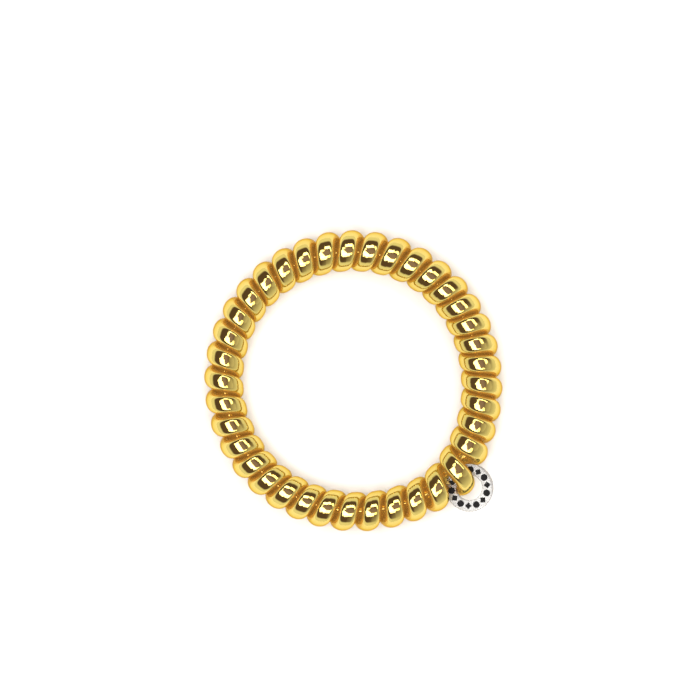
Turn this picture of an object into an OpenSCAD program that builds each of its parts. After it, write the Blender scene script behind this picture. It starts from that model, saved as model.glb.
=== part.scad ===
// Spiral hair tie: one springy cord wound into a closed ring of touching turns, with a small flat
// ring hanging on one turn.
// The ring lies on its side on the floor at z = 0, its axis along +Z and its centre at x = y = 0.
// Seen from above, with +X to the right, the turns are counted counter-clockwise from +X, and the
// flat ring hangs at the lower right. Millimetres and degrees.

/* [Ring] */
// Turns of the cord round the ring
turns = 37; // [36:1:37]
// Radius of the loop, from the ring's centre to the middle of the coil
loop_r = 19.4; // [19.2:0.1:20.4]
// Angle of the first turn's outer tip
first_turn = 3.8; // [0:0.1:9]

/* [Coil] */
// Width of the coil across the ring, from its inner to its outer tips
coil_w = 6.1; // [6:0.05:6.6]
// Height of the coil above the floor
coil_h = 6.1; // [6:0.05:6.6]

/* [Cord] */
// Width of the cord, along the ring
cord_w = 3.2; // [2.8:0.05:3.2]
// Depth of the cord, across the coil's wall
cord_depth = 2.4; // [2.1:0.1:2.4]
// Gap that is left where two turns are squeezed against each other
turn_gap = 0.06; // [0.06:0.01:0.1]
// How much the cord's face is flattened over the top and the underside, 0 for a plain oval
face_fullness = 3; // [0:0.5:3]
// How much its sides slope there, 0 for a plain oval
side_slope = 0.7; // [0:0.1:0.7]
// How much its face is flattened at the inside of the ring, 0 for a plain oval
inner_fullness = 0.8; // [0:0.1:0.8]
// How many degrees the top of a turn lags behind its tips
front_lag = 0.5; // [0:0.1:0.6]
// How far a turn bends in an S between its tips, in degrees
sway = 0.3; // [0:0.1:0.4]

/* [Flat ring] */
// Outer diameter
tag_d = 7.2; // [6.6:0.1:7.2]
// Diameter of its hole
tag_hole_d = 3.76; // [3.76:0.04:4]
// Thickness
tag_t = 0.45; // [0.3:0.05:0.45]
// Chamfer on each of its edges
tag_chamfer = 0.1; // [0.05:0.05:0.1]
// Distance from the ring's centre to the middle of the hole
tag_reach = 23.7; // [23.65:0.05:23.75]
// Height of the middle of the hole above the floor
tag_z = 3.6; // [3.55:0.05:3.65]
// How far its outer side is raised
tag_tilt = 6; // [5:0.5:7]
// How far its counter-clockwise side is raised
tag_lean = 7; // [6:0.5:8]

/* [Hidden] */

// The turn that the flat ring hangs on, and that turn's angle
tag_turn = 32;
tag_angle = 317.6;
// Share of the cord's depth and of its width that the flat ring squeezes away, and how many turns
// the squeezed stretch takes to either side
tag_squeeze = 0.2;
tag_pinch = 0.12;
tag_squeeze_turns = 0.18;

// The relaxed ring is not a true circle: it bulges, and its turns spread, where the flat ring hangs.
// Columns: turn, then what is added there to the loop's radius, to the coil's width and to its
// height, and by how many degrees the outer tips and the inner tips run ahead of even turns.
TURN = 0;
RADIUS = 1;
WIDTH = 2;
HEIGHT = 3;
OUTER = 4;
INNER = 5;
RING_SHAPE = [
    [ 0,   -0.12,  0.14,  0,    2.0,  1.9],
    [ 2,   -0.08,  0.18,  0,    0.4,  0.6],
    [ 5,    0.06,  0.10,  0,   -1.1, -0.4],
    [10,    0.15,  0.08,  0,   -1.1, -0.6],
    [14,    0.13, -0.18,  0,   -1.1, -0.6],
    [18,   -0.04, -0.18,  0,   -0.8, -0.3],
    [21,   -0.08, -0.08,  0,    0.1,  0.3],
    [24,    0.02, -0.05,  0,   -0.3,  0.3],
    [26.5,  0.10, -0.14,  0,   -1.0, -0.1],
    [29,    0.46, -0.16,  0,    0.0,  0.5],
    [31,    1.05,  0.00,  0.3, -0.4,  1.2],
    [32,    1.30,  1.00,  0.3,  1.8,  2.0],
    [33,    0.58,  0.17,  0.2,  4.9,  2.6],
    [35,    0.15,  0.10,  0,    3.6,  2.7]
];

pitch = 360 / turns;
// The cord's rings of points along one turn, and the points round each ring
rings_per_turn = 13;
sides = 12;
// How sharply the cord's width gives way to the space that the turns leave it
give = 16;

// The row of the ring's shape that comes last before a turn, and the rows round the ring
function row_before(turn) =
    max([for (i = [0 : len(RING_SHAPE) - 1]) if (RING_SHAPE[i][TURN] <= turn) i]);
function row(i) = RING_SHAPE[(i + len(RING_SHAPE)) % len(RING_SHAPE)];
function row_turn(i) = row(i)[TURN] + turns * floor(i / len(RING_SHAPE));
function row_slope(i, column) =
    (row(i + 1)[column] - row(i - 1)[column]) / (row_turn(i + 1) - row_turn(i - 1));

// Smooth value of a column at any turn: a cubic from each row to the next
function shape_at(turn, column) =
    let (
        here = turn - turns * floor(turn / turns),
        i = row_before(here),
        span = row_turn(i + 1) - row_turn(i),
        s = (here - row_turn(i)) / span,
        from = row(i)[column],
        to = row(i + 1)[column],
        leave = row_slope(i, column) * span,
        reach = row_slope(i + 1, column) * span
    )
    (2 * pow(s, 3) - 3 * pow(s, 2) + 1) * from
    + (pow(s, 3) - 2 * pow(s, 2) + s) * leave
    + (3 * pow(s, 2) - 2 * pow(s, 3)) * to
    + (pow(s, 3) - pow(s, 2)) * reach;

// How far a point of the cord is towards the inside of the ring: 0 at the outer tip, 1 at the inner
function inward(turn) = (1 - cos(360 * turn)) / 2;

// How near a point of the cord is to the top or the underside: 0 at the tips, 1 half way
function aloft(turn) = pow(sin(360 * turn), 2);

// 1 in the middle of the flat ring's hole, falling to 0 on both sides
function in_hole(turn) =
    let (away = (turn - tag_turn) / tag_squeeze_turns)
    exp(-pow(away, 2));

// Room beside a turn, as a share of the room that evenly spaced turns have
function room(turn, column) =
    min(1, 1 + (shape_at(turn + 0.5, column) - shape_at(turn - 0.5, column)) / pitch);

// Half the cord's depth, across the coil's wall
function half_depth(turn) = cord_depth / 2 * (1 - tag_squeeze * in_hole(turn));

// Angle round the ring, distance from its centre and height of the cord's middle, at any turn
function ring_angle(turn) =
    first_turn + pitch * turn
    + shape_at(turn, OUTER) * (1 - inward(turn)) + shape_at(turn, INNER) * inward(turn)
    - front_lag * sin(360 * turn) + sway * sin(720 * turn);
function ring_radius(turn) =
    loop_r + shape_at(turn, RADIUS)
    + ((coil_w + shape_at(turn, WIDTH)) / 2 - half_depth(turn)) * cos(360 * turn);
function middle_height(turn) =
    let (upright = (coil_h + shape_at(turn, HEIGHT)) / 2)
    upright + (upright - half_depth(turn)) * sin(360 * turn);

// Half the cord's width, along the ring: its own, or what the turns beside it leave
function space(turn) =
    ring_radius(turn) * pitch * PI / 180
    * (room(turn, OUTER) * (1 - inward(turn)) + room(turn, INNER) * inward(turn)) - turn_gap;
function half_width(turn) =
    pow(pow(cord_w, -give) + pow(space(turn), -give), -1 / give) / 2
    * (1 - tag_pinch * in_hole(turn));

// The cord's section at any turn, which stands along the ring: a plain oval at the outer tip, with
// a flatter face and sloping sides where it passes over the top and the underside
function rounded(share, power) = sign(share) * pow(abs(share), 2 / power);
function section(turn) =
    let (
        angle = ring_angle(turn),
        radial = [cos(angle), sin(angle), 0],
        middle = radial * ring_radius(turn) + [0, 0, middle_height(turn)],
        deep = (radial * cos(360 * turn) + [0, 0, sin(360 * turn)]) * half_depth(turn),
        wide = [-sin(angle), cos(angle), 0] * half_width(turn),
        face = 2 + face_fullness * aloft(turn) + inner_fullness * pow(inward(turn), 2),
        slope = 2 - side_slope * aloft(turn)
    )
    [
        for (j = [0 : sides - 1])
            let (around = 360 * j / sides)
            middle + deep * rounded(cos(around), slope) + wide * rounded(sin(around), face)
    ];

// Two triangles for each side between a ring of points and the next, and the last ring meets the
// first, so the cord has no ends
ring_count = turns * rings_per_turn;
function corner(ring, side) = (ring % ring_count) * sides + side % sides;
function cord_faces() = [
    for (i = [0 : ring_count - 1], j = [0 : sides - 1])
        each [
            [corner(i, j), corner(i + 1, j), corner(i + 1, j + 1)],
            [corner(i, j), corner(i + 1, j + 1), corner(i, j + 1)]
        ]
];

// The wound cord
module coil() {
    color("goldenrod")
        polyhedron(
            points = [for (i = [0 : ring_count - 1]) each section(i / rings_per_turn)],
            faces = cord_faces(),
            convexity = 10
        );
}

// The flat ring's section, beside its axis
module tag_section() {
    inside = tag_hole_d / 2;
    outside = tag_d / 2;
    face = tag_t / 2;
    side = face - tag_chamfer;
    polygon([
        [inside + tag_chamfer, -face],
        [outside - tag_chamfer, -face],
        [outside, -side],
        [outside, side],
        [outside - tag_chamfer, face],
        [inside + tag_chamfer, face],
        [inside, side],
        [inside, -side]
    ]);
}

// The flat ring, round the outer tip of its turn
module tag_ring() {
    color("gainsboro")
        rotate([0, 0, tag_angle])
        translate([tag_reach, 0, tag_z])
        rotate([tag_lean, -tag_tilt, 0])
        rotate_extrude($fn = 96)
        tag_section();
}

coil();
tag_ring();
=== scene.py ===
"""Dresses the spiral hair tie: a gold cord wound into a closed ring, with a clear flat ring on it.

The ring lies on its side on the floor at z = 0 and its axis is +Z. Seen from above, with +X to the
right, the turns are counted counter-clockwise from +X. A turn's whole number is at its outer tip,
and a quarter turn on it passes over the top. The sizes below are in millimetres and degrees, and
the meshes are in metres.
"""
import logging
import math
from collections.abc import Mapping, Sequence
from dataclasses import dataclass
from enum import Enum
from typing import Any

import bpy
from mathutils import Matrix, Vector


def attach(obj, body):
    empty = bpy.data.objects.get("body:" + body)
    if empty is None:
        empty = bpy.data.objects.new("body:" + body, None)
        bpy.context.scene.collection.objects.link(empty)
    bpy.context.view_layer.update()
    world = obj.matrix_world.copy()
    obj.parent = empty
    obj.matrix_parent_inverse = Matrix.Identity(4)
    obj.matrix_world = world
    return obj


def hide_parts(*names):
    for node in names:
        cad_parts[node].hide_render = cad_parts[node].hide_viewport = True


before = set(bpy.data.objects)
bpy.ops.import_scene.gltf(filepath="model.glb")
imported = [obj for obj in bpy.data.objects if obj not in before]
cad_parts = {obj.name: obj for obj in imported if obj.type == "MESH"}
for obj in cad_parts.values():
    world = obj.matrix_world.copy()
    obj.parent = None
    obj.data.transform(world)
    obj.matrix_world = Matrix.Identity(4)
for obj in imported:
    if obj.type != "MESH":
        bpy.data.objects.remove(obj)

log = logging.getLogger("hair_tie")

MM = 0.001
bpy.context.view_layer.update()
BODY = "root"
FACING = "facing"

# Noise runs from 0 to 1, but mostly keeps to this span
NOISE_SPAN = (0.3, 0.7)

# How many finer layers a noise has on top of its coarsest one
SMOOTH, CLOUDY, GRAINY = 1.0, 2.0, 3.0

# The power of a plain oval: a higher one flattens its face, and a lower one slopes its sides
OVAL = 2.0


class Slot(Enum):
    """The record's material slots."""

    CORD = "gold_cord"
    TAG = "clear_tag"


class Node(Enum):
    """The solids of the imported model."""

    COIL = "coil"
    TAG = "tag_ring"


def linear(colour: str) -> tuple[float, float, float, float]:
    """Turns an sRGB hex colour into linear light.

    Args:
        colour: Six hex digits after a hash sign.

    Returns:
        Red, green, blue and a full alpha.
    """
    shares = [int(colour[i:i + 2], 16) / 255 for i in (1, 3, 5)]
    light = [s / 12.92 if s <= 0.04045 else ((s + 0.055) / 1.055) ** 2.4 for s in shares]
    return light[0], light[1], light[2], 1.0


def fill(socket: bpy.types.NodeSocket, source: Any) -> None:
    """Joins a socket to what feeds it, or sets its value.

    Args:
        socket: The input to fill.
        source: A node, whose first output is used, a socket or a plain value.
    """
    if isinstance(source, bpy.types.Node):
        source = next(output for output in source.outputs if output.enabled)
    if isinstance(source, bpy.types.NodeSocket):
        socket.id_data.links.new(source, socket)
    else:
        socket.default_value = source


def add(tree: bpy.types.NodeTree, kind: str, *sources: Any,
        named: Mapping[str, Any] | None = None, **settings: Any) -> bpy.types.Node:
    """Adds a node to a tree, with its settings and its links.

    Args:
        tree: The tree that gets the node.
        kind: The node's type.
        sources: What fills each input in turn. None leaves that input as it is.
        named: What fills other inputs, by their names.
        settings: The node's own properties, set before the inputs are filled.

    Returns:
        The new node.
    """
    made = tree.nodes.new(kind)
    for name, value in settings.items():
        setattr(made, name, value)
    sockets = [socket for socket in made.inputs if socket.enabled]
    for socket, source in zip(sockets, sources):
        if source is not None:
            fill(socket, source)
    for name, source in (named or {}).items():
        fill(made.inputs[name], source)
    return made


def new_tree(name: str, inputs: Mapping[str, str]) -> bpy.types.NodeTree:
    """Makes an empty Geometry Nodes tree.

    Args:
        name: The tree's name.
        inputs: The kind of socket for each input's name, apart from the geometry.

    Returns:
        The tree, whose inputs and output are declared.
    """
    tree = bpy.data.node_groups.new(name, "GeometryNodeTree")
    tree.interface.new_socket("Geometry", in_out="OUTPUT", socket_type="NodeSocketGeometry")
    tree.interface.new_socket("Geometry", in_out="INPUT", socket_type="NodeSocketGeometry")
    for label, kind in inputs.items():
        tree.interface.new_socket(label, in_out="INPUT", socket_type=kind)
    return tree


def grow(name: str, start: bpy.types.Mesh, tree: bpy.types.NodeTree,
         sizes: Mapping[str, Any]) -> bpy.types.Object:
    """Runs a Geometry Nodes tree on a mesh and keeps the result as a plain mesh.

    Args:
        name: The new object's name.
        start: The mesh that the tree starts from.
        tree: The tree to run.
        sizes: A value for each of the tree's inputs, by the input's name.

    Returns:
        The object, which has no modifier left.
    """
    thing = bpy.data.objects.new(name, start)
    bpy.context.scene.collection.objects.link(thing)
    modifier = thing.modifiers.new(tree.name, "NODES")
    modifier.node_group = tree
    for item in tree.interface.items_tree:
        if item.in_out == "INPUT" and item.name in sizes:
            modifier[item.identifier] = sizes[item.name]
    graph = bpy.context.evaluated_depsgraph_get()
    done = bpy.data.meshes.new_from_object(
        thing.evaluated_get(graph), preserve_all_data_layers=True, depsgraph=graph
    )
    thing.modifiers.remove(modifier)
    thing.data = done
    return thing


class Finish:
    """What every finish shares: a material whose patterns read Object coordinates."""

    name: str

    def shader(self, tree: bpy.types.NodeTree, place: bpy.types.NodeSocket) -> bpy.types.Node:
        """Adds the finish's nodes to its tree.

        Args:
            tree: The material's empty tree.
            place: Where each point is on the object.

        Returns:
            The shader.
        """
        raise NotImplementedError

    def make(self) -> bpy.types.Material:
        """Builds the material.

        Returns:
            The material, named for the real one.
        """
        material = bpy.data.materials.new(self.name)
        material.use_nodes = True
        tree = material.node_tree
        tree.nodes.clear()
        place = add(tree, "ShaderNodeTexCoord").outputs["Object"]
        add(tree, "ShaderNodeOutputMaterial", self.shader(tree, place))
        return material


@dataclass(frozen=True)
class MetallisedCord(Finish):
    """Extruded polyurethane cord, metallised in a vacuum and lacquered.

    The eye sees a mirror of pale gold with the faint ripple of a sprayed lacquer. Where the cord
    faces the turns beside it, it is less of a metal and has more of its ripple, and an amber is
    painted there, a painted reflection of the gold mirrored from turn to turn, with a painted glow
    that brightens the creases between the turns.
    """

    name: str = "vacuum_metallised_polyurethane"
    gold: str = "#E3CE76"
    deep_gold: str = "#DCC36A"
    edge: str = "#D8B484"
    shade_mm: float = 7.0
    ripple_mm: float = 1.1
    ripple_depth_mm: float = 0.004
    gloss: tuple[float, float] = (0.05, 0.09)
    gloss_mm: float = 2.2
    # An amber painted between the turns: a painted reflection of the gold mirrored from turn to turn
    painted_amber: str = "#D0AC56"
    amber_metal: float = 0.75
    amber_gloss: float = 0.08
    amber_ripple: float = 6.0
    # A painted glow between the turns, which brightens the creases there
    painted_glow: str = "#B48C3C"
    painted_glow_radiance: float = 0.17
    # Angles to the coil's wall over which the painted amber and glow set in between the turns
    between_turns_from: float = 32.0
    between_turns_to: float = 46.0

    def shader(self, tree: bpy.types.NodeTree, place: bpy.types.NodeSocket) -> bpy.types.Node:
        """Adds the mirror-bright gold, its drift of shade and gloss, and its ripple."""
        shade = add(tree, "ShaderNodeTexNoise", place, 1 / (self.shade_mm * MM), CLOUDY)
        colour = add(tree, "ShaderNodeMix", shade, linear(self.gold), linear(self.deep_gold),
                     data_type="RGBA")
        haze = add(tree, "ShaderNodeTexNoise", place, 1 / (self.gloss_mm * MM), GRAINY)
        gloss = add(tree, "ShaderNodeMapRange", haze, *NOISE_SPAN, *self.gloss)
        # How squarely the cord faces out of the coil's wall; where it faces the next turns, amber and
        # glow are painted
        facing = add(tree, "ShaderNodeAttribute", attribute_name=FACING).outputs["Fac"]
        between_turns = add(tree, "ShaderNodeMapRange", facing, math.cos(math.radians(self.between_turns_from)),
                   math.cos(math.radians(self.between_turns_to)), 0.0, 1.0, interpolation_type="SMOOTHSTEP")
        ripple = add(tree, "ShaderNodeTexNoise", place, 1 / (self.ripple_mm * MM), SMOOTH)
        depth = self.ripple_depth_mm * MM
        depth = add(tree, "ShaderNodeMix", between_turns, depth, depth * self.amber_ripple, data_type="FLOAT")
        bump = add(tree, "ShaderNodeBump", 1.0, depth, None, ripple)
        # Painted reflection: an amber between the turns, for the gold mirrored from turn to turn
        colour = add(tree, "ShaderNodeMix", between_turns, colour, linear(self.painted_amber), data_type="RGBA")
        metal = add(tree, "ShaderNodeMix", between_turns, 1.0, self.amber_metal, data_type="FLOAT")
        gloss = add(tree, "ShaderNodeMix", between_turns, gloss, self.amber_gloss, data_type="FLOAT")
        # Painted light: a glow between the turns that brightens the creases there
        painted_glow = add(tree, "ShaderNodeMath", between_turns, self.painted_glow_radiance, operation="MULTIPLY")
        return add(tree, "ShaderNodeBsdfPrincipled", named={
            "Base Color": colour,
            "Metallic": metal,
            "Roughness": gloss,
            "Specular Tint": linear(self.edge),
            "Emission Color": linear(self.painted_glow),
            "Emission Strength": painted_glow,
            "Normal": bump,
        })


@dataclass(frozen=True)
class ClearTag(Finish):
    """Injection-moulded clear polycarbonate.

    The eye sees straight through it, greyed by painted shade in its tint, with bright and dark lines
    at its edges.
    """

    name: str = "moulded_clear_polycarbonate"
    # A grey tint: painted shade for the shadow the ring does not cast on the floor below
    tint_with_painted_shade: str = "#BCBCBA"
    ior: float = 1.58
    haze: tuple[float, float] = (0.05, 0.09)
    haze_mm: float = 3.0

    def shader(self, tree: bpy.types.NodeTree, place: bpy.types.NodeSocket) -> bpy.types.Node:
        """Adds the clear plastic and the faint haze of its flow in the mould."""
        flow = add(tree, "ShaderNodeTexNoise", place, 1 / (self.haze_mm * MM), CLOUDY)
        haze = add(tree, "ShaderNodeMapRange", flow, *NOISE_SPAN, *self.haze)
        return add(tree, "ShaderNodeBsdfPrincipled", named={
            # The grey of this base colour is painted shade
            "Base Color": linear(self.tint_with_painted_shade),
            "Roughness": haze,
            "IOR": self.ior,
            "Transmission Weight": 1.0,
        })


@dataclass(frozen=True)
class PrintedInk(Finish):
    """Pad-printed ink on plastic.

    The eye sees a soft black with a slightly uneven cover.
    """

    name: str = "pad_printed_black_ink"
    ink: str = "#0D0C0C"
    thin_ink: str = "#1A1818"
    grain_mm: float = 0.12
    roughness: float = 0.55
    sheen_level: float = 0.15

    def shader(self, tree: bpy.types.NodeTree, place: bpy.types.NodeSocket) -> bpy.types.Node:
        """Adds the ink and its grain."""
        grain = add(tree, "ShaderNodeTexNoise", place, 1 / (self.grain_mm * MM), CLOUDY)
        colour = add(tree, "ShaderNodeMix", grain, linear(self.ink), linear(self.thin_ink),
                     data_type="RGBA")
        return add(tree, "ShaderNodeBsdfPrincipled", named={
            "Base Color": colour,
            "Roughness": self.roughness,
            "Specular IOR Level": self.sheen_level,
        })


@dataclass(frozen=True)
class WhiteCard(Finish):
    """Matt white card, for the floor.

    The eye sees an even, pale sheet with a barely visible tooth.
    """

    name: str = "matt_white_card"
    colour: str = "#F6F5F3"
    shade: str = "#F3F2F0"
    tooth_mm: float = 3.0
    roughness: float = 0.9
    sheen_level: float = 0.1

    def shader(self, tree: bpy.types.NodeTree, place: bpy.types.NodeSocket) -> bpy.types.Node:
        """Adds the card and its tooth."""
        tooth = add(tree, "ShaderNodeTexNoise", place, 1 / (self.tooth_mm * MM), GRAINY)
        colour = add(tree, "ShaderNodeMix", tooth, linear(self.colour), linear(self.shade),
                     data_type="RGBA")
        return add(tree, "ShaderNodeBsdfPrincipled", named={
            "Base Color": colour,
            "Roughness": self.roughness,
            "Specular IOR Level": self.sheen_level,
        })


@dataclass(frozen=True)
class RingRow:
    """What the relaxed ring adds to an even one at a turn, in millimetres and degrees.

    The ring bulges, and its turns spread, where the flat ring hangs.
    """

    turn: float
    radius: float
    width: float
    height: float
    outer: float
    inner: float


RING_SHAPE = (
    RingRow(0, -0.12, 0.14, 0, 2.0, 1.9),
    RingRow(2, -0.08, 0.18, 0, 0.4, 0.6),
    RingRow(5, 0.06, 0.10, 0, -1.1, -0.4),
    RingRow(10, 0.15, 0.08, 0, -1.1, -0.6),
    RingRow(14, 0.13, -0.18, 0, -1.1, -0.6),
    RingRow(18, -0.04, -0.18, 0, -0.8, -0.3),
    RingRow(21, -0.08, -0.08, 0, 0.1, 0.3),
    RingRow(24, 0.02, -0.05, 0, -0.3, 0.3),
    RingRow(26.5, 0.10, -0.14, 0, -1.0, -0.1),
    RingRow(29, 0.46, -0.16, 0, 0.0, 0.5),
    RingRow(31, 1.05, 0.00, 0.3, -0.4, 1.2),
    RingRow(32, 1.30, 1.00, 0.3, 1.8, 2.0),
    RingRow(33, 0.58, 0.17, 0.2, 4.9, 2.6),
    RingRow(35, 0.15, 0.10, 0, 3.6, 2.7),
)


@dataclass
class HairCoil:
    """The cord, wound into turns that touch round a closed ring, in one piece."""

    finish: bpy.types.Material
    rows: Sequence[RingRow] = RING_SHAPE
    turns: int = 37
    loop_radius: float = 19.4
    first_turn: float = 3.8
    coil_width: float = 6.1
    coil_height: float = 6.1
    cord_width: float = 3.2
    cord_depth: float = 2.4
    turn_gap: float = 0.06
    give: float = 16.0
    face_fullness: float = 3.0
    side_slope: float = 0.7
    inner_fullness: float = 0.8
    front_lag: float = 0.5
    sway: float = 0.3
    open_tips: float = 0.25
    tag_turn: float = 32
    tag_squeeze: float = 0.2
    tag_pinch: float = 0.12
    tag_squeeze_turns: float = 0.18
    stations_per_turn: int = 52
    sides: int = 50
    wobble: float = 0.012
    wobble_size: float = 2.6
    wobble_gain: float = 4.0
    seed: float = 4.0
    seam: float = 0.001

    @property
    def pitch(self) -> float:
        """The angle between two turns of an even ring."""
        return 360 / self.turns

    def row(self, index: int) -> tuple[RingRow, float]:
        """A row of the ring's shape and its turn, for an index that may run on round the ring."""
        laps, place = divmod(index, len(self.rows))
        return self.rows[place], self.rows[place].turn + self.turns * laps

    def slope(self, index: int, column: str) -> float:
        """How fast a column changes at a row, for each turn."""
        (before, first), (after, last) = self.row(index - 1), self.row(index + 1)
        return (getattr(after, column) - getattr(before, column)) / (last - first)

    def shape_at(self, turn: float, column: str) -> float:
        """Reads a column of the ring's shape at any turn.

        Args:
            turn: Turns round the ring, which may run on.
            column: The name of a field of RingRow.

        Returns:
            The value on a smooth cubic from each row to the next.
        """
        here = turn % self.turns
        index = max(i for i, row in enumerate(self.rows) if row.turn <= here)
        (start, first), (end, last) = self.row(index), self.row(index + 1)
        span = last - first
        s = (here - first) / span
        return (
            (2 * s**3 - 3 * s**2 + 1) * getattr(start, column)
            + (s**3 - 2 * s**2 + s) * self.slope(index, column) * span
            + (3 * s**2 - 2 * s**3) * getattr(end, column)
            + (s**3 - s**2) * self.slope(index + 1, column) * span
        )

    def room(self, turn: float, column: str) -> float:
        """The room beside a turn, as a share of the room that evenly spaced turns have."""
        spread = self.shape_at(turn + 0.5, column) - self.shape_at(turn - 0.5, column)
        return min(1.0, 1 + spread / self.pitch)

    def station(self, turn: float) -> dict[str, float]:
        """Works out what the tree reads at one station along the cord.

        Args:
            turn: Turns round the ring.

        Returns:
            The value of each attribute, in metres and radians.
        """
        away = (turn - self.tag_turn) / self.tag_squeeze_turns
        return {
            "turn": turn,
            "loop": (self.loop_radius + self.shape_at(turn, "radius")) * MM,
            "half_coil": (self.coil_width + self.shape_at(turn, "width")) / 2 * MM,
            "upright": (self.coil_height + self.shape_at(turn, "height")) / 2 * MM,
            "outer_shift": math.radians(self.shape_at(turn, "outer")),
            "inner_shift": math.radians(self.shape_at(turn, "inner")),
            "outer_room": self.room(turn, "outer"),
            "inner_room": self.room(turn, "inner"),
            "in_hole": math.exp(-(away**2)),
        }

    def stations(self) -> bpy.types.Mesh:
        """Makes the line of stations that the tree winds.

        Returns:
            A mesh of loose points with one attribute for each value of a station.
        """
        count = self.turns * self.stations_per_turn
        mesh = bpy.data.meshes.new("cord_stations")
        mesh.from_pydata([(0.0, 0.0, 0.0)] * count, [], [])
        values = [self.station(i / self.stations_per_turn) for i in range(count)]
        for name in values[0]:
            column = mesh.attributes.new(name, "FLOAT", "POINT")
            column.data.foreach_set("value", [value[name] for value in values])
        return mesh

    def winding(self) -> bpy.types.NodeTree:
        """Builds the tree that winds the stations into the cord's surface.

        Returns:
            The tree. Its sizes are in metres and its angles in radians.
        """
        number, whole = "NodeSocketFloat", "NodeSocketInt"
        tree = new_tree("Wound cord", {
            "Stations": whole, "Sides": whole, "First turn": number, "Pitch": number,
            "Front lag": number, "Sway": number, "Half depth": number, "Cord width": number,
            "Turn gap": number, "Give": number, "Face fullness": number, "Side slope": number,
            "Inner fullness": number, "Squeeze in the hole": number, "Pinch in the hole": number,
            "Open tips": number, "Wobble": number, "Wobble size": number, "Wobble gain": number,
            "Seed": number, "Seam": number, "Finish": "NodeSocketMaterial",
        })
        sizes = add(tree, "NodeGroupInput").outputs
        math_node, vector_node = "ShaderNodeMath", "ShaderNodeVectorMath"

        # What the stations carry
        turn, loop, half_coil, upright, outer_shift, inner_shift, outer_room, inner_room, in_hole = (
            add(tree, "GeometryNodeInputNamedAttribute", name, data_type="FLOAT").outputs["Attribute"]
            for name in self.station(0)
        )

        # How far each station is round its own turn, towards the inside of the ring, and aloft
        round_turn = add(tree, math_node, turn, math.tau, operation="MULTIPLY")
        cosine = add(tree, math_node, round_turn, operation="COSINE")
        sine = add(tree, math_node, round_turn, operation="SINE")
        inward = add(tree, math_node, cosine, -0.5, 0.5, operation="MULTIPLY_ADD")
        aloft = add(tree, math_node, sine, sine, operation="MULTIPLY")

        # The middle of the cord, in the hollow that the depth of the cord leaves
        squeeze = add(tree, math_node, in_hole, sizes["Squeeze in the hole"], operation="MULTIPLY")
        keep = add(tree, math_node, 1.0, squeeze, operation="SUBTRACT")
        depth = add(tree, math_node, sizes["Half depth"], keep, operation="MULTIPLY")
        across = add(tree, math_node, half_coil, depth, operation="SUBTRACT")
        reach = add(tree, math_node, across, cosine, loop, operation="MULTIPLY_ADD")
        rise = add(tree, math_node, upright, depth, operation="SUBTRACT")
        height = add(tree, math_node, rise, sine, upright, operation="MULTIPLY_ADD")
        angle = add(tree, math_node, turn, sizes["Pitch"], sizes["First turn"],
                    operation="MULTIPLY_ADD")
        shift = add(tree, "ShaderNodeMix", inward, outer_shift, inner_shift, data_type="FLOAT")
        angle = add(tree, math_node, angle, shift, operation="ADD")
        lag = add(tree, math_node, sine, sizes["Front lag"], operation="MULTIPLY")
        angle = add(tree, math_node, angle, lag, operation="SUBTRACT")
        bend = add(tree, math_node, sine, cosine, operation="MULTIPLY")
        bend = add(tree, math_node, bend, 2.0, operation="MULTIPLY")
        angle = add(tree, math_node, bend, sizes["Sway"], angle, operation="MULTIPLY_ADD")
        east = add(tree, math_node, angle, operation="COSINE")
        north = add(tree, math_node, angle, operation="SINE")
        radial = add(tree, "ShaderNodeCombineXYZ", east, north, 0.0)
        flat = add(tree, vector_node, radial, reach, operation="SCALE")
        lift = add(tree, "ShaderNodeCombineXYZ", 0.0, 0.0, height)
        middle = add(tree, vector_node, flat, lift, operation="ADD")
        line = add(tree, "GeometryNodeSetPosition", sizes["Geometry"], None, middle)

        # Half the cord's width, along the ring: its own, or what the turns beside it leave
        room = add(tree, "ShaderNodeMix", inward, outer_room, inner_room, data_type="FLOAT")
        room = add(tree, math_node, room, sizes["Pitch"], operation="MULTIPLY")
        space = add(tree, math_node, room, reach, operation="MULTIPLY")
        space = add(tree, math_node, space, sizes["Turn gap"], operation="SUBTRACT")
        press = add(tree, math_node, space, sizes["Cord width"], operation="DIVIDE")
        press = add(tree, math_node, press, sizes["Give"], operation="POWER")
        press = add(tree, math_node, press, 1.0, operation="ADD")
        root = add(tree, math_node, -1.0, sizes["Give"], operation="DIVIDE")
        press = add(tree, math_node, press, root, operation="POWER")
        pinch = add(tree, math_node, in_hole, sizes["Pinch in the hole"], operation="MULTIPLY")
        keep = add(tree, math_node, 1.0, pinch, operation="SUBTRACT")
        width = add(tree, math_node, space, press, operation="MULTIPLY")
        width = add(tree, math_node, width, keep, operation="MULTIPLY")
        width = add(tree, math_node, width, 0.5, operation="MULTIPLY")

        # The section stands along the ring, with a flatter face and sloping sides where it is aloft
        face = add(tree, math_node, aloft, sizes["Face fullness"], OVAL, operation="MULTIPLY_ADD")
        deep_in = add(tree, math_node, inward, inward, operation="MULTIPLY")
        face = add(tree, math_node, deep_in, sizes["Inner fullness"], face, operation="MULTIPLY_ADD")
        face = add(tree, math_node, OVAL, face, operation="DIVIDE")
        slope = add(tree, math_node, aloft, sizes["Side slope"], operation="MULTIPLY")
        slope = add(tree, math_node, OVAL, slope, operation="SUBTRACT")
        slope = add(tree, math_node, OVAL, slope, operation="DIVIDE")
        spoke = add(tree, vector_node, radial, cosine, operation="SCALE")
        stand = add(tree, "ShaderNodeCombineXYZ", 0.0, 0.0, sine)
        outward = add(tree, vector_node, spoke, stand, operation="ADD")
        south = add(tree, math_node, north, -1.0, operation="MULTIPLY")
        sideways = add(tree, "ShaderNodeCombineXYZ", south, east, 0.0)

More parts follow.
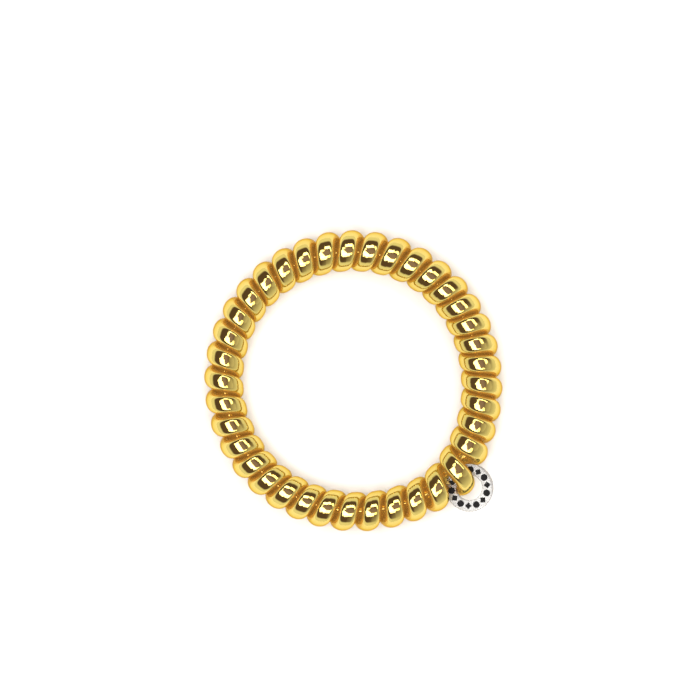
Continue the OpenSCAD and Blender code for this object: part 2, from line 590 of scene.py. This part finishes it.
        # A sheet with a column of points for each side of the cord, from first station to last
        index = add(tree, "GeometryNodeInputIndex")
        place = add(tree, "GeometryNodeInputPosition")
        rows = add(tree, "FunctionNodeIntegerMath", sizes["Stations"], 1, operation="ADD")
        columns = add(tree, "FunctionNodeIntegerMath", sizes["Sides"], 1, operation="ADD")
        sheet = add(tree, "GeometryNodeMeshGrid", 1.0, 1.0, columns, rows)
        column = add(tree, "FunctionNodeIntegerMath", index, rows, operation="DIVIDE_FLOOR")
        row = add(tree, "FunctionNodeIntegerMath", index, rows, operation="MODULO")
        row = add(tree, "FunctionNodeIntegerMath", row, sizes["Stations"], operation="MODULO")
        deep = add(tree, vector_node, outward, depth, operation="SCALE")
        wide = add(tree, vector_node, sideways, width, operation="SCALE")
        at_middle, at_deep, at_wide, at_slope, at_face, at_aloft = (
            add(tree, "GeometryNodeSampleIndex", line, value, row, data_type=kind, domain="POINT")
            for value, kind in (
                (place, "FLOAT_VECTOR"), (deep, "FLOAT_VECTOR"), (wide, "FLOAT_VECTOR"),
                (slope, "FLOAT"), (face, "FLOAT"), (aloft, "FLOAT"),
            )
        )

        # Each point's place round its section
        share = add(tree, math_node, column, sizes["Sides"], operation="DIVIDE")
        around = add(tree, math_node, share, math.tau, operation="MULTIPLY")
        arms = []
        for wave, power, side in (("COSINE", at_slope, at_deep), ("SINE", at_face, at_wide)):
            part = add(tree, math_node, around, operation=wave)
            sign = add(tree, math_node, part, operation="SIGN")
            part = add(tree, math_node, part, operation="ABSOLUTE")
            part = add(tree, math_node, part, power, operation="POWER")
            part = add(tree, math_node, part, sign, operation="MULTIPLY")
            arms.append(add(tree, vector_node, side, part, operation="SCALE"))
        arm = add(tree, vector_node, *arms, operation="ADD")
        skin = add(tree, vector_node, at_middle, arm, operation="ADD")

        # The faint wobble of a soft cord, in and out with the noise
        grain = add(tree, math_node, 1.0, sizes["Wobble size"], operation="DIVIDE")
        noise = add(tree, "ShaderNodeTexNoise", skin, sizes["Seed"], grain, SMOOTH,
                    noise_dimensions="4D")
        swell = add(tree, math_node, noise.outputs["Fac"], 0.5, operation="SUBTRACT")
        swell = add(tree, math_node, swell, sizes["Wobble"], operation="MULTIPLY")
        swell = add(tree, math_node, swell, sizes["Wobble gain"], operation="MULTIPLY")
        way = add(tree, vector_node, arm, operation="NORMALIZE")
        swell = add(tree, vector_node, way, swell, operation="SCALE")
        skin = add(tree, vector_node, skin, swell, operation="ADD")

        # The sheet takes the cord's form and keeps how squarely it faces out of the coil's wall,
        # and the turns stand open at their tips, so there every side counts as facing out more
        wound = add(tree, "GeometryNodeSetPosition", sheet.outputs["Mesh"], None, skin)
        facing = add(tree, vector_node, at_deep, operation="NORMALIZE")
        normal = add(tree, "GeometryNodeInputNormal")
        facing = add(tree, vector_node, facing, normal, operation="DOT_PRODUCT")
        tips = add(tree, math_node, 1.0, at_aloft, operation="SUBTRACT")
        facing = add(tree, math_node, tips, sizes["Open tips"], facing, operation="MULTIPLY_ADD")
        # This facing value marks where the cord's finish paints its amber reflection and glow between
        # the turns
        wound = add(tree, "GeometryNodeStoreNamedAttribute", wound, None, FACING, facing,
                    data_type="FLOAT", domain="POINT")

        # Its seams close, and it becomes a plain smooth mesh
        wound = add(tree, "GeometryNodeMergeByDistance", wound, None, sizes["Seam"])
        wound = add(tree, "GeometryNodeSetShadeSmooth", wound, None, True)
        wound = add(tree, "GeometryNodeRealizeInstances", wound)
        wound = add(tree, "GeometryNodeSetMaterial", wound, None, sizes["Finish"])
        add(tree, "NodeGroupOutput", wound)
        return tree

    def build(self) -> bpy.types.Object:
        """Winds the cord, and lets it stand for the coil's solid.

        Returns:
            The cord.
        """
        cord = grow("wound_cord", self.stations(), self.winding(), {
            "Stations": self.turns * self.stations_per_turn,
            "Sides": self.sides,
            "First turn": math.radians(self.first_turn),
            "Pitch": math.radians(self.pitch),
            "Front lag": math.radians(self.front_lag),
            "Sway": math.radians(self.sway),
            "Half depth": self.cord_depth / 2 * MM,
            "Cord width": self.cord_width * MM,
            "Turn gap": self.turn_gap * MM,
            "Give": self.give,
            "Face fullness": self.face_fullness,
            "Side slope": self.side_slope,
            "Inner fullness": self.inner_fullness,
            "Squeeze in the hole": self.tag_squeeze,
            "Pinch in the hole": self.tag_pinch,
            "Open tips": self.open_tips,
            "Wobble": self.wobble * MM,
            "Wobble size": self.wobble_size * MM,
            "Wobble gain": self.wobble_gain,
            "Seed": self.seed,
            "Seam": self.seam * MM,
            "Finish": self.finish,
        })
        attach(cord, BODY)
        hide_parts(Node.COIL.value)
        return cord


class Mark(Enum):
    """The plain shapes that are printed in turn round the flat ring, by their corners."""

    DIAMOND = 4
    DOT = 16


@dataclass
class FlatTag:
    """The clear flat ring, threaded on the outer tip of one turn, and what is printed on it."""

    clear: bpy.types.Material
    ink: bpy.types.Material
    outer: float = 7.2
    hole: float = 3.76
    thick: float = 0.45
    edge: float = 0.1
    angle: float = 317.6
    reach: float = 23.7
    height: float = 3.6
    tilt: float = 6.0
    lean: float = 7.0
    segments: int = 144
    edge_steps: int = 4
    marks: int = 14
    mark_radius: float = 2.72
    mark_size: float = 1.04
    mark_thick: float = 0.02
    mark_sink: float = 0.005

    def placing(self) -> Matrix:
        """Where the flat ring lies.

        Returns:
            The matrix that takes a ring round +Z at the origin, in metres, to its place.
        """
        return (
            Matrix.Rotation(math.radians(self.angle), 4, "Z")
            @ Matrix.Translation((self.reach * MM, 0, self.height * MM))
            @ Matrix.Rotation(-math.radians(self.tilt), 4, "Y")
            @ Matrix.Rotation(math.radians(self.lean), 4, "X")
        )

    def section(self) -> list[tuple[float, float]]:
        """The flat ring's section beside its axis, with round edges.

        Returns:
            Distance from the axis and height for each point, counter-clockwise, in millimetres.
        """
        points = []
        face = self.thick / 2 - self.edge
        corners = (
            (self.outer / 2 - self.edge, -face, -90), (self.outer / 2 - self.edge, face, 0),
            (self.hole / 2 + self.edge, face, 90), (self.hole / 2 + self.edge, -face, 180),
        )
        for x, z, start in corners:
            for step in range(self.edge_steps + 1):
                turned = math.radians(start + 90 * step / self.edge_steps)
                points.append((x + self.edge * math.cos(turned), z + self.edge * math.sin(turned)))
        return points

    def ring(self) -> bpy.types.Object:
        """Turns the section round its axis into the moulded ring, in place of its plain solid.

        Light passes through the clear ring, so it is set to cast no shadow; its shade is painted into
        its grey tint.

        Returns:
            The ring.
        """
        section = self.section()
        size = len(section)
        points = []
        for i in range(self.segments):
            turned = math.tau * i / self.segments
            points += [
                Vector((r * math.cos(turned), r * math.sin(turned), z)) * MM for r, z in section
            ]
        faces = []
        for i in range(self.segments):
            here, there = i * size, (i + 1) % self.segments * size
            faces += [
                (here + j, there + j, there + (j + 1) % size, here + (j + 1) % size)
                for j in range(size)
            ]
        mesh = bpy.data.meshes.new("moulded_flat_ring")
        mesh.from_pydata(points, [], faces)
        mesh.transform(self.placing())
        mesh.shade_smooth()
        mesh.materials.append(self.clear)
        ring = bpy.data.objects.new("moulded_flat_ring", mesh)
        # No shadow here: the ring's shade is painted into the clear finish's grey tint instead
        ring.visible_shadow = False
        bpy.context.scene.collection.objects.link(ring)
        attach(ring, BODY)
        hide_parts(Node.TAG.value)
        return ring

    def printing(self) -> bpy.types.NodeTree:
        """Builds the tree that prints plain marks at the start mesh's points.

        Returns:
            The tree. Its sizes are in metres.
        """
        number = "NodeSocketFloat"
        tree = new_tree("Printed marks", {
            "Mark size": number, "Mark thickness": number, "Ink": "NodeSocketMaterial",
        })
        sizes = add(tree, "NodeGroupInput").outputs
        radius = add(tree, "ShaderNodeMath", sizes["Mark size"], 0.5, operation="MULTIPLY")
        marks = add(tree, "GeometryNodeJoinGeometry")
        turn, kind = (
            add(tree, "GeometryNodeInputNamedAttribute", name, data_type="FLOAT").outputs["Attribute"]
            for name in ("turn", "kind")
        )
        turned = add(tree, "ShaderNodeCombineXYZ", 0.0, 0.0, turn)
        turned = add(tree, "FunctionNodeEulerToRotation", turned)
        for order, mark in enumerate(Mark):
            shape = add(tree, "GeometryNodeMeshCylinder", mark.value, 1, 1, radius,
                        sizes["Mark thickness"])
            chosen = add(tree, "FunctionNodeCompare", kind, float(order), data_type="FLOAT",
                         operation="EQUAL")
            placed = add(tree, "GeometryNodeInstanceOnPoints", sizes["Geometry"], chosen, shape,
                         named={"Rotation": turned})
            fill(marks.inputs[0], placed)
        printed = add(tree, "GeometryNodeRealizeInstances", marks)
        printed = add(tree, "GeometryNodeSetMaterial", printed, None, sizes["Ink"])
        add(tree, "NodeGroupOutput", printed)
        return tree

    def marks_piece(self) -> bpy.types.Object:
        """Prints the marks on the upper face, half way between the hole and the rim.

        Returns:
            The printed marks, as one thin piece.
        """
        start = bpy.data.meshes.new("mark_places")
        turns = [math.tau * i / self.marks for i in range(self.marks)]
        out = self.mark_radius * MM
        height = (self.thick / 2 + self.mark_thick / 2 - self.mark_sink) * MM
        start.from_pydata([(out * math.cos(t), out * math.sin(t), height) for t in turns], [], [])
        for name, values in (("turn", turns), ("kind", [i % len(Mark) for i in range(self.marks)])):
            column = start.attributes.new(name, "FLOAT", "POINT")
            column.data.foreach_set("value", values)
        printed = grow("printed_marks", start, self.printing(), {
            "Mark size": self.mark_size * MM,
            "Mark thickness": self.mark_thick * MM,
            "Ink": self.ink,
        })
        printed.data.transform(self.placing())
        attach(printed, BODY)
        return printed

    def build(self) -> list[bpy.types.Object]:
        """Makes the flat ring and its print."""
        return [self.ring(), self.marks_piece()]


@dataclass(frozen=True)
class Softbox:
    """One soft light of the studio, where the front of the ring mirrors it."""

    name: str
    right: float
    up: float
    wide: float
    high: float
    turn: float
    radiance: float
    colour: str = "#FFFFFF"
    round: bool = False

    def hang(self, aim: Vector, distance: float) -> None:
        """Hangs the light.

        Args:
            aim: The point that the light faces.
            distance: How far the light is from there, in metres.
        """
        lean = math.radians(math.hypot(self.right, self.up))
        side = math.atan2(self.up, self.right)
        away = Vector((
            math.sin(lean) * math.cos(side), math.sin(lean) * math.sin(side), math.cos(lean)
        ))
        light = bpy.data.lights.new(self.name, "AREA")
        light.shape = "ELLIPSE" if self.round else "RECTANGLE"
        light.size = 2 * distance * math.tan(math.radians(self.wide / 2))
        light.size_y = 2 * distance * math.tan(math.radians(self.high / 2))
        area = light.size * light.size_y * (math.pi / 4 if self.round else 1)
        light.energy = self.radiance * math.pi * area
        light.color = linear(self.colour)[:3]
        lamp = bpy.data.objects.new(self.name, light)
        across = Vector((0, 1, 0)).cross(away).normalized()
        rise = away.cross(across)
        frame_of_light = Matrix((across, rise, away)).transposed().to_4x4()
        lamp.matrix_world = (
            Matrix.Translation(aim + away * distance)
            @ frame_of_light
            @ Matrix.Rotation(math.radians(self.turn), 4, "Z")
        )
        lamp.visible_camera = False
        bpy.context.scene.collection.objects.link(lamp)


SOFTBOXES = (
    Softbox("left_softbox", -18, -6, 23, 32, 28, 5.0),
    Softbox("upper_left_softbox", -14, 17, 12, 12, 0, 3.0, round=True),
    Softbox("top_softbox", 3, 31, 22, 14, 0, 5.0),
    Softbox("upper_right_softbox", 28, 20, 13, 27, 39, 3.4, "#FFFAEA"),
    Softbox("right_softbox", 40, -4, 32, 40, 0, 0.2, round=True),
    Softbox("lower_right_softbox", 17, -17, 14, 14, 0, 3.0, "#FFF8DC", True),
    Softbox("lower_softbox", 0, -22, 22, 17, 0, 4.6),
)


@dataclass(frozen=True)
class Surround:
    """The walls of the studio: dark overhead with a paler patch straight up, and white low down.

    Towards one side the white sets in higher up and more slowly, as on a curved backdrop. The reaches
    are in degrees from straight up.
    """

    centre: str = "#A28FB0"
    dark: str = "#645355"
    white: float = 1.06
    centre_from: float = 9.0
    centre_to: float = 31.0
    low_from: float = 62.0
    low_to: float = 73.0
    backdrop_from: float = 18.0
    backdrop_to: float = 92.0
    backdrop_side: float = -30.0
    backdrop_edges: tuple[float, float] = (0.4, 0.95)

    def paint(self) -> bpy.types.World:
        """Builds the world.

        Returns:
            The world, painted by direction alone.
        """
        world = bpy.data.worlds.new("studio_surround")
        world.use_nodes = True
        tree = world.node_tree
        tree.nodes.clear()
        math_node, vector_node = "ShaderNodeMath", "ShaderNodeVectorMath"
        way = add(tree, "ShaderNodeTexCoord").outputs["Generated"]
        rise = add(tree, "ShaderNodeSeparateXYZ", way).outputs["Z"]
        lean = add(tree, math_node, rise, operation="ARCCOSINE")
        lean = add(tree, math_node, lean, 180 / math.pi, operation="MULTIPLY")

        # How far each direction turns towards the backdrop, as seen from above
        flat = add(tree, vector_node, way, (1.0, 1.0, 0.0), operation="MULTIPLY")
        flat = add(tree, vector_node, flat, operation="NORMALIZE")
        side = math.radians(self.backdrop_side)
        towards = add(tree, vector_node, flat, (math.cos(side), math.sin(side), 0.0),
                      operation="DOT_PRODUCT").outputs["Value"]
        towards = add(tree, "ShaderNodeMapRange", towards, *self.backdrop_edges, 0.0, 1.0,
                      interpolation_type="SMOOTHSTEP")

        low = add(tree, "ShaderNodeMapRange", lean, self.low_from, self.low_to, 0.0, 1.0,
                  interpolation_type="SMOOTHSTEP")
        graded = add(tree, "ShaderNodeMapRange", lean, self.backdrop_from, self.backdrop_to, 0.0, 1.0)
        low = add(tree, "ShaderNodeMix", towards, low, graded, data_type="FLOAT")
        middle = add(tree, "ShaderNodeMapRange", lean, self.centre_from, self.centre_to, 1.0, 0.0,
                     interpolation_type="SMOOTHSTEP")
        dome = add(tree, "ShaderNodeMix", middle, linear(self.dark), linear(self.centre),
                   data_type="RGBA")
        white = (self.white, self.white, self.white, 1.0)
        walls = add(tree, "ShaderNodeMix", low, dome, white, data_type="RGBA")
        background = add(tree, "ShaderNodeBackground", walls)
        add(tree, "ShaderNodeOutputWorld", background)
        return world


@dataclass
class Studio:
    """The pale floor, the lights and the camera."""

    centre_x: float = 352.8
    centre_y: float = 381.0
    frame_px: int = 700
    mm_per_px: float = 0.15
    camera_distance: float = 0.7
    middle_height: float = 3.05
    floor_side: float = 0.6
    light_distance: float = 0.6
    fill_angle: float = 120.0
    fill_strength: float = 1.4
    bounces: int = 16
    sensor: float = 36.0

    def floor(self) -> None:
        """Lays the pale floor. Past its edges the white surroundings carry on from it."""
        half = self.floor_side / 2
        mesh = bpy.data.meshes.new("floor")
        mesh.from_pydata([(-half, -half, 0), (half, -half, 0), (half, half, 0), (-half, half, 0)], [],
                         [(0, 1, 2, 3)])
        mesh.materials.append(WhiteCard().make())
        floor = bpy.data.objects.new("floor", mesh)
        bpy.context.scene.collection.objects.link(floor)

    def camera(self) -> None:
        """Sets up the camera, straight above and far off, as the ring is seen face on."""
        lens = bpy.data.cameras.new("camera")
        lens.sensor_width = self.sensor
        lens.lens = self.sensor * self.camera_distance / (self.frame_px * self.mm_per_px * MM)
        camera = bpy.data.objects.new("camera", lens)
        camera.location = (
            (self.frame_px / 2 - self.centre_x) * self.mm_per_px * MM,
            (self.centre_y - self.frame_px / 2) * self.mm_per_px * MM,
            self.middle_height * MM + self.camera_distance,
        )
        bpy.context.scene.collection.objects.link(camera)
        bpy.context.scene.camera = camera

    def lights(self) -> None:
        """Hangs the softboxes, and a wide even fill without shadows that only matt surfaces see."""
        aim = Vector((0, 0, self.middle_height * MM))
        for box in SOFTBOXES:
            box.hang(aim, self.light_distance)
        light = bpy.data.lights.new("overhead_fill", "SUN")
        light.angle = math.radians(self.fill_angle)
        light.energy = self.fill_strength
        light.use_shadow = False
        fill = bpy.data.objects.new("overhead_fill", light)
        fill.visible_camera = False
        fill.visible_glossy = False
        bpy.context.scene.collection.objects.link(fill)

    def build(self) -> None:
        """Sets up the floor, the surroundings, the lights and the camera."""
        scene = bpy.context.scene
        scene.view_settings.view_transform = "Standard"
        scene.world = Surround().paint()
        scene.cycles.max_bounces = self.bounces
        scene.cycles.glossy_bounces = self.bounces
        self.floor()
        self.lights()
        self.camera()


def main() -> None:
    """Builds the hair tie's pieces and the studio, and reports each piece."""
    logging.basicConfig(level=logging.INFO, format="%(name)s: %(message)s")
    Studio().build()
    cord = HairCoil(MetallisedCord().make()).build()
    pieces = [cord, *FlatTag(ClearTag().make(), PrintedInk().make()).build()]
    for piece in pieces:
        log.info("%s has %d faces", piece.name, len(piece.data.polygons))


if __name__ == "__main__":
    main()
